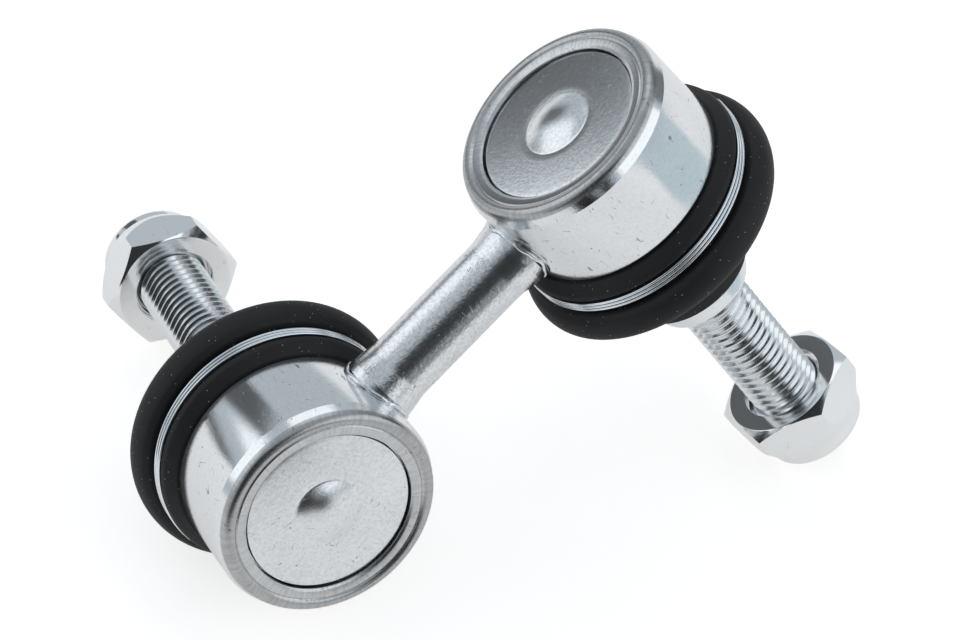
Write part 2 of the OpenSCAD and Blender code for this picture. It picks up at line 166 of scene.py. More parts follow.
class Bench:
    """The modelling steps that the pieces share."""

    @staticmethod
    def clear() -> None:
        """Deselects everything in object mode."""
        if bpy.context.object is not None and bpy.context.object.mode != "OBJECT":
            bpy.ops.object.mode_set(mode="OBJECT")
        bpy.ops.object.select_all(action="DESELECT")

    @staticmethod
    def take(obj: bpy.types.Object) -> None:
        """Makes one object the only selected and active one."""
        Bench.clear()
        obj.select_set(True)
        bpy.context.view_layer.objects.active = obj

    @staticmethod
    def drawn(name: str, points: Sequence[Point]) -> bpy.types.Object:
        """Draws an outline as a chain of edges, extruded from one vertex.

        Args:
            name: the new object's name.
            points: the outline, as radius and height.

        Returns:
            The new object, left in edit mode with everything selected.
        """
        Bench.clear()
        bpy.ops.mesh.primitive_plane_add(size=1.0)
        obj = bpy.context.object
        obj.name = name
        bpy.ops.object.mode_set(mode="EDIT")
        bpy.ops.mesh.select_all(action="SELECT")
        bpy.ops.mesh.merge(type="CENTER")
        bpy.ops.transform.translate(value=(points[0][0], 0.0, points[0][1]))
        for before, after in zip(points, points[1:]):
            step = (after[0] - before[0], 0.0, after[1] - before[1])
            bpy.ops.mesh.extrude_vertices_move(TRANSFORM_OT_translate={"value": step})
        bpy.ops.mesh.select_all(action="SELECT")
        return obj

    @staticmethod
    def closed_up(obj: bpy.types.Object, angle: float = 32.0) -> bpy.types.Object:
        """Merges doubles, points the faces outwards and smooths all edges below an angle in degrees."""
        Bench.take(obj)
        bpy.ops.object.mode_set(mode="EDIT")
        bpy.ops.mesh.select_all(action="SELECT")
        bpy.ops.mesh.remove_doubles(threshold=WELD_GAP)
        bpy.ops.mesh.normals_make_consistent(inside=False)
        bpy.ops.object.mode_set(mode="OBJECT")
        bpy.ops.object.shade_smooth_by_angle(angle=math.radians(angle))
        return obj

    @staticmethod
    def turned(name: str, points: Sequence[Point], steps: int = 160) -> bpy.types.Object:
        """Spins an outline about the stud's axis.

        Args:
            name: the new object's name.
            points: the outline, as radius and height.
            steps: number of steps in the full turn.

        Returns:
            The closed-up turned piece.
        """
        obj = Bench.drawn(name, points)
        bpy.ops.mesh.spin(steps=steps, angle=math.tau, center=(0, 0, 0), axis=(0, 0, 1))
        return Bench.closed_up(obj)

    @staticmethod
    def modified(obj: bpy.types.Object, kind: str, **settings: Any) -> bpy.types.Object:
        """Adds a modifier, sets it and applies it.

        Args:
            obj: the object to change.
            kind: the modifier's type.
            settings: the modifier's properties.

        Returns:
            The same object.
        """
        Bench.take(obj)
        modifier = obj.modifiers.new(kind.lower(), kind)
        for key, value in settings.items():
            setattr(modifier, key, value)
        bpy.ops.object.modifier_apply(modifier=modifier.name)
        return obj

    @staticmethod
    def cut(obj: bpy.types.Object, tool: bpy.types.Object, operation: str) -> bpy.types.Object:
        """Joins, cuts or intersects a piece with a tool piece, which is then removed.

        Args:
            obj: the piece.
            tool: the tool piece.
            operation: UNION, DIFFERENCE or INTERSECT.

        Returns:
            The piece.
        """
        Bench.modified(obj, "BOOLEAN", object=tool, operation=operation, solver="EXACT")
        bpy.data.objects.remove(tool)
        return obj

    @staticmethod
    def sliced(obj: bpy.types.Object, z: float, keep_above: bool) -> None:
        """Cuts a piece square to its axis and caps the cut.

        Args:
            obj: the piece.
            z: height of the cut.
            keep_above: whether the part above the cut stays.
        """
        Bench.take(obj)
        bpy.ops.object.mode_set(mode="EDIT")
        bpy.ops.mesh.select_all(action="SELECT")
        bpy.ops.mesh.bisect(
            plane_co=(0, 0, z), plane_no=(0, 0, 1), use_fill=True,
            clear_inner=keep_above, clear_outer=not keep_above,
        )
        bpy.ops.object.mode_set(mode="OBJECT")

    @staticmethod
    def copied(obj: bpy.types.Object, name: str) -> bpy.types.Object:
        """Copies a piece with a mesh of its own."""
        Bench.take(obj)
        bpy.ops.object.duplicate(linked=False)
        twin = bpy.context.object
        twin.name = name
        return twin

    @staticmethod
    def moved(obj: bpy.types.Object, matrix: Matrix) -> bpy.types.Object:
        """Moves a piece and puts its new place into its mesh."""
        Bench.take(obj)
        obj.matrix_world = matrix
        bpy.ops.object.transform_apply(location=True, rotation=True, scale=True)
        return obj


@dataclass(frozen=True)
class Frame:
    """A frame about a ball centre: +Z along a joint's or a stud's axis, +X away from the rod."""

    name: str
    ball: Vector
    axes: Matrix

    @property
    def matrix(self) -> Matrix:
        """The move that takes a piece from the frame's own millimetres to its place in the link."""
        return Matrix.Translation(self.ball) @ self.axes.to_4x4() @ Matrix.Scale(MM, 4)

    def point(self, height: float) -> Vector:
        """A point on the frame's axis, at a height in millimetres from the ball centre."""
        return self.ball + self.axes.col[2] * height * MM


@dataclass(frozen=True)
class Placement:
    """Where one joint of the link is: the frame of its housing, and that of the stud that leans in it."""

    side: Side
    housing: Frame
    stud: Frame

    @classmethod
    def read(cls, side: Side, joints: Sequence[dict[str, Any]]) -> Placement:
        """Reads a joint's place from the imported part's hinges.

        Args:
            side: which joint of the link.
            joints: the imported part's joints.

        Returns:
            The joint's place.
        """
        named = {j["name"]: j for j in joints}
        axis = {s: Vector(named[f"{s.value}_stud_turn"]["axis"]).normalized() for s in Side}
        away = axis[Side.UPPER].cross(axis[Side.LOWER]).normalized()
        if side is Side.LOWER:
            away = -away
        ball = Vector(named[f"{side.value}_stud_turn"]["pos_m"])
        straight = Matrix((away, axis[side].cross(away), axis[side])).transposed()
        lean = axis[side].rotation_difference(Vector(named[f"{side.value}_nut_turn"]["axis"]).normalized())
        return cls(
            side,
            Frame(side.value, ball, straight),
            Frame(f"{side.value}_stud", ball, lean.to_matrix() @ straight),
        )

    @property
    def lean(self) -> Quaternion:
        """The turn, in the housing's frame, that leans the stud."""
        return (self.housing.axes.transposed() @ self.stud.axes).to_quaternion()


class Socket:
    """A shader socket that takes part in Python expressions."""

    def __init__(self, tree: ShaderTree, link: bpy.types.NodeSocket) -> None:
        """Wraps an output socket of a tree."""
        self.tree = tree
        self.link = link

    def _math(self, operation: str, *values: Any) -> Socket:
        """Adds one Math node."""
        inputs = dict(enumerate(values))
        return self.tree.node("ShaderNodeMath", {"operation": operation}, inputs)

    def __add__(self, other: Any) -> Socket:
        """Adds."""
        return self._math("ADD", self, other)

    __radd__ = __add__

    def __sub__(self, other: Any) -> Socket:
        """Subtracts."""
        return self._math("SUBTRACT", self, other)

    def __rsub__(self, other: Any) -> Socket:
        """Subtracts from a number."""
        return self._math("SUBTRACT", other, self)

    def __mul__(self, other: Any) -> Socket:
        """Multiplies."""
        return self._math("MULTIPLY", self, other)

    def __pow__(self, other: Any) -> Socket:
        """Raises to a power."""
        return self._math("POWER", self, other)

    def above(self, low: float, high: float) -> Socket:
        """A smooth step from 0 at low to 1 at high."""
        return self.tree.node(
            "ShaderNodeMapRange", {"interpolation_type": "SMOOTHSTEP", "clamp": True},
            {"Value": self, "From Min": low, "From Max": high, "To Min": 0.0, "To Max": 1.0},
        )

    def between(self, low: float, high: float, soft: float) -> Socket:
        """A band that is 1 from low to high and fades over soft on each side."""
        return self.above(low - soft, low) * (1.0 - self.above(high, high + soft))

    def turn_from(self, other: Socket) -> Socket:
        """The angle of the point whose height is this value and whose reach is the other, in radians."""
        return self._math("ARCTAN2", self, other)

    def largest(self, other: Any) -> Socket:
        """The larger of two values."""
        return self._math("MAXIMUM", self, other)


class ShaderTree:
    """One material's nodes."""

    def __init__(self, name: str) -> None:
        """Starts a material with a Principled shader."""
        self.material = bpy.data.materials.new(name)
        self.material.use_nodes = True
        self.nodes = self.material.node_tree.nodes
        self.links = self.material.node_tree.links
        self.shader = self.nodes["Principled BSDF"]

    def node(
        self, kind: str, settings: dict[str, Any], inputs: dict[Any, Any], output: Any = 0
    ) -> Socket:
        """Adds any node.

        Args:
            kind: the node's type.
            settings: properties to set first, such as a Math node's operation.
            inputs: values or sockets by input name or number.
            output: name or number of the output that is wanted.

        Returns:
            That output.
        """
        made = self.nodes.new(kind)
        for key, value in settings.items():
            setattr(made, key, value)
        for key, value in inputs.items():
            self._feed(made.inputs[key], value)
        return Socket(self, made.outputs[output])

    def _feed(self, target: bpy.types.NodeSocket, value: Any) -> None:
        """Links a socket or sets a value."""
        if isinstance(value, Socket):
            self.links.new(value.link, target)
        elif isinstance(value, tuple) and len(value) == 3 and target.type == "RGBA":
            target.default_value = (*value, 1.0)
        else:
            target.default_value = value

    def set(self, **inputs: Any) -> None:
        """Sets the shader's sockets; an underscore in a name stands for a space."""
        for key, value in inputs.items():
            self._feed(self.shader.inputs[key.replace("_", " ")], value)

    def local(self, frame: Frame) -> Socket:
        """The shaded point in a joint's own frame, in metres."""
        found = self.node("ShaderNodeTexCoord", {}, {}, "Object")
        turn = frame.axes.to_euler()
        return self.node(
            "ShaderNodeMapping", {"vector_type": "TEXTURE"},
            {"Vector": found, "Location": tuple(frame.ball), "Rotation": tuple(turn)},
        )

    def parts(self, vector: Socket) -> tuple[Socket, Socket, Socket]:
        """A vector's three values, in millimetres."""
        split = self.nodes.new("ShaderNodeSeparateXYZ")
        self.links.new(vector.link, split.inputs[0])
        x, y, z = (Socket(self, s) * (1.0 / MM) for s in split.outputs)
        return x, y, z

    def vector(self, x: Any, y: Any, z: Any) -> Socket:
        """A vector from three values."""
        return self.node("ShaderNodeCombineXYZ", {}, {0: x, 1: y, 2: z})

    def noise(self, vector: Socket, scale: float, detail: float = 3.0, roughness: float = 0.55) -> Socket:
        """Cloudy noise between 0 and 1."""
        return self.node(
            "ShaderNodeTexNoise", {},
            {"Vector": vector, "Scale": scale, "Detail": detail, "Roughness": roughness}, "Fac",
        )

    def specks(self, vector: Socket, scale: float, reach: float) -> Socket:
        """Round specks, 1 in a speck, of random size up to a reach in cells."""
        cells = self.node(
            "ShaderNodeTexVoronoi", {"feature": "F1"}, {"Vector": vector, "Scale": scale}, "Distance"
        )
        return 1.0 - cells.above(reach * 0.5, reach)

    def mixed(self, share: Any, first: Any, second: Any) -> Socket:
        """Mixes two colours."""
        made = self.nodes.new("ShaderNodeMix")
        made.data_type = "RGBA"
        for socket, value in zip((made.inputs[0], made.inputs[6], made.inputs[7]), (share, first, second)):
            self._feed(socket, value)
        return Socket(self, made.outputs[2])

    def bump(self, height: Socket, depth: float) -> None:
        """Feeds a height, in a depth in millimetres, to the shader's normal."""
        made = self.node(
            "ShaderNodeBump", {}, {"Strength": 1.0, "Distance": depth * MM, "Height": height}, "Normal"
        )
        self._feed(self.shader.inputs["Normal"], made)


@dataclass(frozen=True)
class Scuffs:
    """Small dark specks and short hair-like scratches, in patches. Scales are cells or waves in a metre."""

    shade: Colour = (0.16, 0.165, 0.17)
    roughness: float = 0.2
    speck_scale: float = 620.0
    speck_reach: float = 0.1
    speck_patches: float = 230.0
    speck_span: Span = (0.5, 0.56)
    hair_scale: float = 620.0
    hair_stretch: Triple = (1.0, 1.0, 0.4)
    hair_turn: Triple = (0.3, 0.5, 0.0)
    hair_band: Span = (0.496, 0.504)
    hair_edge: float = 0.006
    hair_patches: float = 520.0
    hair_span: Span = (0.58, 0.63)

    def share(self, tree: ShaderTree, at: Socket) -> Socket:
        """Where the plating is scuffed: 1 in a speck or a hair, 0 elsewhere."""
        speckled = tree.noise(at, self.speck_patches, 2.0).above(*self.speck_span)
        spots = tree.specks(at, self.speck_scale, self.speck_reach) * speckled
        streaked = tree.node(
            "ShaderNodeMapping", {},
            {"Vector": at, "Scale": self.hair_stretch, "Rotation": self.hair_turn},
        )
        hairs = tree.noise(streaked, self.hair_scale, 1.0).between(*self.hair_band, self.hair_edge)
        scratched = tree.noise(at, self.hair_patches, 2.0).above(*self.hair_span)
        return spots.largest(hairs * scratched)


@dataclass(frozen=True)
class RolledLip:
    """A lip rubbed dull when it was rolled over: all over, more on its crest, and in radial streaks."""

    end: float = -11.0
    fade: float = 0.3
    shade: Colour = (0.41, 0.41, 0.41)
    roughness: float = 0.2
    all_over: float = 0.46
    on_crest: float = 0.3
    crest_span: Span = (12.8, 13.4)
    in_streaks: float = 0.2
    streak_span: Span = (0.35, 0.7)
    streak_turns: float = 32.0
    streak_wander: float = 0.3

    def share(self, tree: ShaderTree, at: Socket) -> Socket:
        """How far the plating is rubbed dull."""
        x, y, z = tree.parts(at)
        reach = (x * x + y * y) ** 0.5
        spread = tree.vector(y.turn_from(x) * self.streak_turns, reach * self.streak_wander, 0.0)
        streaks = tree.noise(spread, 1.0, 3.0, 0.6).above(*self.streak_span)
        lip = 1.0 - z.above(self.end - self.fade, self.end)
        crest = reach.above(*self.crest_span)
        return lip * (self.all_over + crest * self.on_crest + streaks * self.in_streaks)


@dataclass(frozen=True)
class ZincPlate:
    """Bright bluish zinc plating with a fine grain, a ripple and faint mottling.

    Scales are waves in a metre; the grain is the depth of its relief in millimetres.
    """

    name: str
    pale: Colour = (0.85, 0.865, 0.88)
    dull: Colour = (0.48, 0.5, 0.52)
    roughness: float = 0.09
    mottle: float = 0.2
    mottle_mix: Triple = (0.6, 0.6, 0.2)
    mottle_span: Span = (0.6, 0.86)
    grit: float = 3600.0
    grain: float = 0.009
    ripple: float = 0.35
    blot_scale: float = 2000.0
    cloud_scale: float = 160.0
    cloud_roughness: float = 0.05
    wear: float = 0.75
    scuffs: Scuffs = Scuffs()
    lip: RolledLip | None = None

    def material(self, frame: Frame) -> bpy.types.Material:
        """Builds the finish in a joint's own frame.

        Args:
            frame: the frame of the joint or stud that the piece belongs to.

        Returns:
            The material.
        """
        tree = ShaderTree(f"{frame.name}_{self.name}")
        at = tree.local(frame)
        clouds = tree.noise(at, self.cloud_scale, 3.0)
        fine = tree.noise(at, self.grit, 3.0, 0.7)
        blots = tree.noise(at, self.blot_scale, 4.0, 0.65)
        worn = self.scuffs.share(tree, at) * self.wear
        of_fine, of_blots, of_clouds = self.mottle_mix
        speckle = (fine * of_fine + blots * of_blots + clouds * of_clouds).above(*self.mottle_span)
        base = tree.mixed(speckle * self.mottle, self.pale, self.dull)
        rough = self.roughness + clouds * self.cloud_roughness + worn * self.scuffs.roughness
        if self.lip is not None:
            rolled = self.lip.share(tree, at)
            base = tree.mixed(rolled, base, self.lip.shade)
            rough = rough + rolled * self.lip.roughness
        tree.set(
            Base_Color=tree.mixed(worn, base, self.scuffs.shade),
            Metallic=1.0,
            Roughness=rough,
        )
        tree.bump(fine + blots * self.ripple - worn, self.grain)
        return tree.material


HOUSING_ZINC = ZincPlate("housing_zinc", lip=RolledLip())
COVER_ZINC = ZincPlate(
    "cover_zinc", roughness=0.18, mottle=0.38, grit=2600.0, grain=0.012, ripple=0.2
)
ROD_ZINC = ZincPlate(
    "rod_zinc", roughness=0.18, mottle=0.5, grit=2600.0, grain=0.032, ripple=0.5
)
STUD_ZINC = ZincPlate(
    "stud_zinc", pale=(0.86, 0.88, 0.895), dull=(0.7, 0.72, 0.74),
    roughness=0.14, mottle=0.15, grain=0.006, wear=0.2,
)
RING_WIRE = ZincPlate(
    "ring_wire", pale=(0.82, 0.86, 0.89), dull=(0.7, 0.74, 0.78),
    roughness=0.1, mottle=0.1, grain=0.003, wear=0.0,
)
NUT_ZINC = ZincPlate(
    "nut_zinc", pale=(0.9, 0.91, 0.915), dull=(0.74, 0.76, 0.77),
    roughness=0.08, mottle=0.1, grain=0.005, wear=0.3,
)


@dataclass(frozen=True)
class BlackRubber:
    """Matt black rubber with a dusting of pale specks. Scales are cells or waves in a metre."""

    name: str = "boot_rubber"
    body: Colour = (0.008, 0.008, 0.009)
    bloom: Colour = (0.022, 0.022, 0.024)
    bloom_share: float = 0.5
    cloud_scale: float = 120.0
    dust: Colour = (0.55, 0.55, 0.56)
    dust_scale: float = 1400.0
    dust_reach: float = 0.11
    dust_patches: float = 420.0
    dust_span: Span = (0.44, 0.52)
    grain: float = 0.02
    grain_scale: float = 2600.0
    roughness: float = 0.52
    grain_roughness: float = 0.18
    sheen: float = 0.42

    def material(self, frame: Frame) -> bpy.types.Material:
        """Builds the finish in a joint's own frame.

        Args:
            frame: the frame of the joint that the boot belongs to.

        Returns:
            The material.
        """
        tree = ShaderTree(f"{frame.name}_{self.name}")
        at = tree.local(frame)
        cloud = tree.noise(at, self.cloud_scale, 3.0)
        dusty = tree.noise(at, self.dust_patches, 2.0).above(*self.dust_span)
        dust = tree.specks(at, self.dust_scale, self.dust_reach) * dusty
        grain = tree.noise(at, self.grain_scale, 3.0)
        base = tree.mixed(cloud * self.bloom_share, self.body, self.bloom)
        tree.set(
            Base_Color=tree.mixed(dust, base, self.dust),
            Roughness=self.roughness + grain * self.grain_roughness,
            Metallic=0.0,
            Specular_IOR_Level=self.sheen,
        )
        tree.bump(grain + cloud, self.grain)
        return tree.material


@dataclass(frozen=True)
class PlainFinish:
    """A plain finish of one colour for a small or hidden piece, or for a card."""

    name: str
    colour: Colour
    roughness: float
    metallic: float = 0.0
    glow: float = 0.0

    def material(self) -> bpy.types.Material:
        """Builds the finish."""
        tree = ShaderTree(self.name)
        tree.set(Base_Color=self.colour, Roughness=self.roughness, Metallic=self.metallic)
        tree.set(Emission_Color=self.colour, Emission_Strength=self.glow)
        return tree.material


def dressed(obj: bpy.types.Object, material: bpy.types.Material) -> None:
    """Gives a piece one material and no other."""
    obj.data.materials.clear()
    obj.data.materials.append(material)


@dataclass
class Housing:
    """Cup of a joint, its top edge rolled over on to the cover.

    Drops are measured from the crest of the lip towards the stud.
    """

    radius: float = 15.25
    crest: float = -12.2
    lip_bore: float = 11.5
    lip_drop: float = 0.5
    land: float = 11.9
    land_drop: float = 0.34
    score: float = 12.96
    score_half: float = 0.16
    score_drops: Triple = (0.22, 0.36, 0.2)
    roll_at: float = 13.72
    roll: float = 1.06
    roll_sweep: Span = (-122.0, -14.0)
    side_drop: float = 2.2
    foot: float = 2.6
    groove: float = 13.6
    groove_end: float = 5.85
    bead: float = 14.4
    bead_at: float = 6.7
    end: float = 7.7
    mouth: float = 8.9
    throat: float = 8.1
    seat: float = 11.0
    seat_end: float = 5.1
    plate: float = -11.25
    plate_seat: float = -9.85
    plate_bore: float = 12.5

    def corners(self) -> list[Corner]:
        """The cup's section, from the lip's edge round the outside to the seat."""
        inner, deepest, outer = (self.crest + drop for drop in self.score_drops)
        lip = [
            Corner(self.lip_bore, self.plate),
            Corner(self.lip_bore, self.crest + self.lip_drop, 0.08),
            Corner(self.land, self.crest + self.land_drop, 0.3),
            Corner(self.score - self.score_half, inner, 0.1),
            Corner(self.score, deepest, 0.03),
            Corner(self.score + self.score_half, outer, 0.06),
        ]
        roll = arc((self.roll_at, self.crest + self.roll), self.roll, *self.roll_sweep, steps=18)
        return lip + roll + [
            Corner(self.radius, self.crest + self.side_drop, 0.06),
            Corner(self.radius, self.foot, 0.6),
            Corner(self.groove, self.foot, 0.1),
            Corner(self.groove, self.groove_end, 0.1),
            Corner(self.bead, self.bead_at, 0.1),
            Corner(self.bead, self.end, 0.3),
            Corner(self.mouth, self.end, 0.2),
            Corner(self.throat, self.seat_end),
            Corner(self.seat, self.seat_end),
            Corner(self.seat, self.plate_seat),
            Corner(self.plate_bore, self.plate_seat),
            Corner(self.plate_bore, self.plate),
        ]

    def build(self) -> bpy.types.Object:
        """Turns the cup."""
        return Bench.turned("housing", rounded(self.corners(), closed=True), steps=192)


@dataclass
class CoverPlate:
    """Slightly swollen pressed disc with a round boss, held under the rolled lip."""

    radius: float = 12.48
    face: float = -11.25
    thickness: float = 1.4
    boss: float = 4.6
    rise: float = 0.8
    foot: float = 0.25
    foot_drop: float = 0.05
    swell: float = 0.34
    rim: float = 11.2
    rim_slope: float = 0.1
    sink: float = 0.5
    face_steps: int = 10

    def _face(self, r: float) -> float:
        """Height of the slightly swollen face at a radius."""
        return self.face - self.swell * (1.0 - (r / self.radius) ** 2)

    def corners(self) -> list[Corner]:
        """The disc's section, from the boss's middle round to the flat back."""
        ball = (self.boss**2 + self.rise**2) / (2 * self.rise)
        base = self._face(self.boss)
        spread = math.degrees(math.asin(self.boss / ball))
        cap = arc((0.0, base - self.rise + ball), ball, -90, -90 + spread, steps=14)
        cap[-1] = Corner(self.boss, base, 0.12)
        cap.append(Corner(self.boss + self.foot, base + self.foot_drop, 0.15))
        reach = (self.rim - self.boss) / self.face_steps
        radii = [self.boss + reach * k for k in range(1, self.face_steps)]
        back = self.face + self.thickness
        return cap + [Corner(r, self._face(r)) for r in radii] + [
            Corner(self.rim, self._face(self.rim), 0.05),
            Corner(self.rim + self.rim_slope, self.face + self.sink, 0.05),
            Corner(self.radius, self.face + self.sink, 0.05),
            Corner(self.radius, back, 0.1),
            Corner(0.0, back),
        ]

    def build(self) -> bpy.types.Object:
        """Turns the disc."""
        return Bench.turned("cover_plate", rounded(self.corners()))


@dataclass
class BallStud:
    """Ball, shank, collar and threaded stud in one piece.

    The tooth is given by the heights, within one pitch, where its flanks start and end.
    """

    ball: float = 8.5
    flat: float = -7.0
    neck: float = 4.4
    neck_end: float = 15.0
    shank: float = 5.6
    collar_at: float = 21.2
    collar: float = 7.1
    collar_depth: float = 3.5
    pilot: float = 5.0
    pilot_depth: float = 1.2
    pilot_slope: float = 0.25
    thread: float = 4.97
    root: float = 4.26
    core_gap: float = 0.08
    pitch: float = 1.25
    tooth: tuple[float, float, float, float] = (0.18, 0.56, 0.74, 1.12)
    lead_in: float = 1.5
    spare_turns: int = 3
    thread_steps: int = 80
    thread_at: float = 26.45
    overlap: float = 1.0
    end: float = 57.0
    chamfer: float = 0.9
    socket_flats: float = 5.0
    socket_depth: float = 5.0

    def _shank(self) -> bpy.types.Object:
        """Turns the ball, shank, collar and pilot."""
        top = math.degrees(math.asin(self.flat / self.ball))
        leave = math.degrees(math.acos(self.neck / self.ball))
        collar_end = self.collar_at + self.collar_depth
        pilot_end = collar_end + self.pilot_depth
        core = self.root + self.core_gap
        core_end = self.thread_at + self.overlap
        corners = [Corner(0.0, self.flat)]
        corners += arc((0.0, 0.0), self.ball, top, leave, steps=40)
        corners += [
            Corner(self.shank, self.neck_end, 2.0),
            Corner(self.shank, self.collar_at, 0.2),
            Corner(self.collar, self.collar_at, 0.7),
            Corner(self.collar, collar_end, 0.9),
            Corner(self.pilot, collar_end, 0.35),
            Corner(self.pilot, pilot_end, 0.25),
            Corner(core, pilot_end + self.pilot_slope, 0.1),
            Corner(core, core_end),
            Corner(0.0, core_end),
        ]
        return Bench.turned("ball_stud", rounded(corners), steps=128)

    def _envelope(self) -> bpy.types.Object:
        """Turns the blank that the thread is cut from, with its chamfered end."""
        low = self.thread_at - self.overlap
        high = self.end + self.overlap
        wide = self.thread + self.overlap
        tip = self.thread - self.chamfer
        return Bench.turned("envelope", [
            (0.0, low), (wide, low), (wide, self.end - self.chamfer - self.overlap),
            (tip, self.end), (tip, high), (0.0, high),
        ], steps=self.thread_steps)

    def _thread(self) -> bpy.types.Object:
        """Winds the thread's tooth up the stud, cuts it square and chamfers its end."""
        turns = math.ceil((self.end - self.thread_at) / self.pitch) + self.spare_turns
        rise, crest, crest_end, fall = self.tooth
        tooth = [
            Corner(self.root, 0.0),
            Corner(self.root, rise, 0.08),
            Corner(self.thread, crest, 0.1),
            Corner(self.thread, crest_end, 0.1),
            Corner(self.root, fall, 0.08),
            Corner(self.root, self.pitch),
        ]
        begin = self.thread_at - self.lead_in * self.pitch
        points = [(r, z + begin) for r, z in rounded(tooth, turn=22.0)]
        obj = Bench.drawn("thread", points)
        bpy.ops.object.mode_set(mode="OBJECT")
        Bench.modified(
            obj, "SCREW", axis="Z", angle=math.tau, screw_offset=self.pitch, iterations=turns,
            steps=self.thread_steps, render_steps=self.thread_steps,
            use_merge_vertices=True, merge_threshold=WELD_GAP,
        )
        Bench.closed_up(obj)
        Bench.sliced(obj, self.thread_at, True)
        Bench.sliced(obj, self.end, False)
        Bench.closed_up(obj)
        return Bench.cut(obj, self._envelope(), "INTERSECT")

    def build(self) -> bpy.types.Object:
        """Joins shank and thread and sinks the hex socket."""
        obj = Bench.cut(self._shank(), self._thread(), "UNION")
        Bench.clear()
        bpy.ops.mesh.primitive_cylinder_add(
            vertices=6, radius=corner_radius(self.socket_flats),
            depth=2 * self.socket_depth, location=(0, 0, self.end),
        )
        Bench.cut(obj, bpy.context.object, "DIFFERENCE")
        return Bench.closed_up(obj)


@dataclass
class DustBoot:
    """Rubber boot: collar, clamp groove, bulge and neck.

    When the stud leans, the boot gives way from a little below the bulge's middle up to the neck.
    """

    top: float = 2.65
    inner: float = 13.65
    shoulder: float = 15.5
    collar: float = 17.15
    collar_slope: float = 0.35
    collar_at: float = 3.7
    collar_end: float = 4.5
    clamp: float = 16.55
    clamp_span: Span = (4.6, 7.28)
    bulge_foot: Corner = Corner(17.6, 7.3, 0.2)
    bulge: float = 15.9
    bulge_at: float = 9.7
    bulge_sweep: Span = (-42.0, 118.0)
    section: float = 3.2
    waist: Corner = Corner(12.6, 13.1, 0.8)
    throat: float = 9.8
    neck_at: float = 16.6
    neck_slope: Corner = Corner(9.1, 18.8, 1.0)
    neck: float = 9.0
    rim: float = 8.4
    rim_depth: float = 0.2
    end: float = 21.15
    stud: float = 5.65
    stud_from: float = 16.5
    hollow: tuple[Corner, ...] = (
        Corner(7.4, 15.2, 0.4), Corner(12.2, 11.2, 0.6), Corner(16.2, 11.0, 0.8), Corner(16.4, 8.4, 0.6),
    )
    bead: float = 14.45
    bead_span: Span = (6.6, 8.2)
    seat_end: float = 5.7
    give: float = 1.5
    bend_span: Span = (8.5, 16.0)

    def corners(self) -> list[Corner]:
        """The boot's section, from the collar's edge round the outside to the stud's bore."""
        collar = [
            Corner(self.inner, self.top),
            Corner(self.shoulder, self.top, 0.1),
            Corner(self.collar - self.collar_slope, self.collar_at, 0.6),
            Corner(self.collar, self.collar_end, 0.25),
            Corner(self.clamp, self.clamp_span[0], 0.1),
            Corner(self.clamp, self.clamp_span[1], 0.1),
            self.bulge_foot,
        ]
        bulge = arc((self.bulge, self.bulge_at), self.section, *self.bulge_sweep, steps=26)
        neck = [
            self.waist,
            Corner(self.throat, self.neck_at, 1.6),
            self.neck_slope,
            Corner(self.neck, self.end - self.rim_depth, 0.5),
            Corner(self.rim, self.end, 0.2),
        ]
        inside = [
            Corner(self.stud, self.end),
            Corner(self.stud, self.stud_from, 0.3),
            *self.hollow,
            Corner(self.bead, self.bead_span[1], 0.1),
            Corner(self.bead, self.bead_span[0]),
            Corner(self.inner, self.seat_end),
        ]
        return collar + bulge + neck + inside

    def build(self) -> bpy.types.Object:
        """Turns the boot."""
        return Bench.turned("dust_boot", rounded(self.corners(), closed=True), steps=176)

    def leaned(self, obj: bpy.types.Object, lean: Quaternion) -> bpy.types.Object:
        """Leans the boot's neck with its stud; the bulge gives way and the collar stays.

        Args:
            obj: the straight boot in its own frame.
            lean: the stud's lean.

        Returns:
            The same boot.
        """
        low = self.bulge_at - self.give
        reach = self.neck_at - low
        for vertex in obj.data.vertices:
            share = min(max((vertex.co.z - low) / reach, 0.0), 1.0)
            share = share * share * (3.0 - 2.0 * share)
            vertex.co = Quaternion().slerp(lean, share) @ vertex.co
        obj.data.update()
        return obj


@dataclass
class ClampRing:
    """Three turns of bright wire round the boot's collar."""

    radius: float = 17.0
    wire: float = 0.22
    middle: float = 5.93
    turns: int = 3
    pitch: float = 0.6
    sides: int = 18
    steps: int = 150

    def build(self) -> bpy.types.Object:
        """Winds the wire and caps its two ends."""
        Bench.clear()
        low = self.middle - self.turns * self.pitch / 2
        bpy.ops.mesh.primitive_circle_add(
            vertices=self.sides, radius=self.wire,
            location=(self.radius, 0, low), rotation=(math.pi / 2, 0, 0),
        )
        obj = bpy.context.object
        obj.name = "clamp_ring"
        bpy.ops.object.transform_apply(location=True, rotation=True, scale=True)
        Bench.modified(
            obj, "SCREW", axis="Z", angle=math.tau, screw_offset=self.pitch,
            iterations=self.turns, steps=self.steps, render_steps=self.steps, use_merge_vertices=False,
        )
        Bench.take(obj)
        bpy.ops.object.mode_set(mode="EDIT")
        bpy.ops.mesh.select_all(action="SELECT")
        bpy.ops.mesh.remove_doubles(threshold=WELD_GAP)
        bpy.ops.mesh.select_all(action="SELECT")
        bpy.ops.mesh.fill_holes(sides=0)
        return Bench.closed_up(obj)


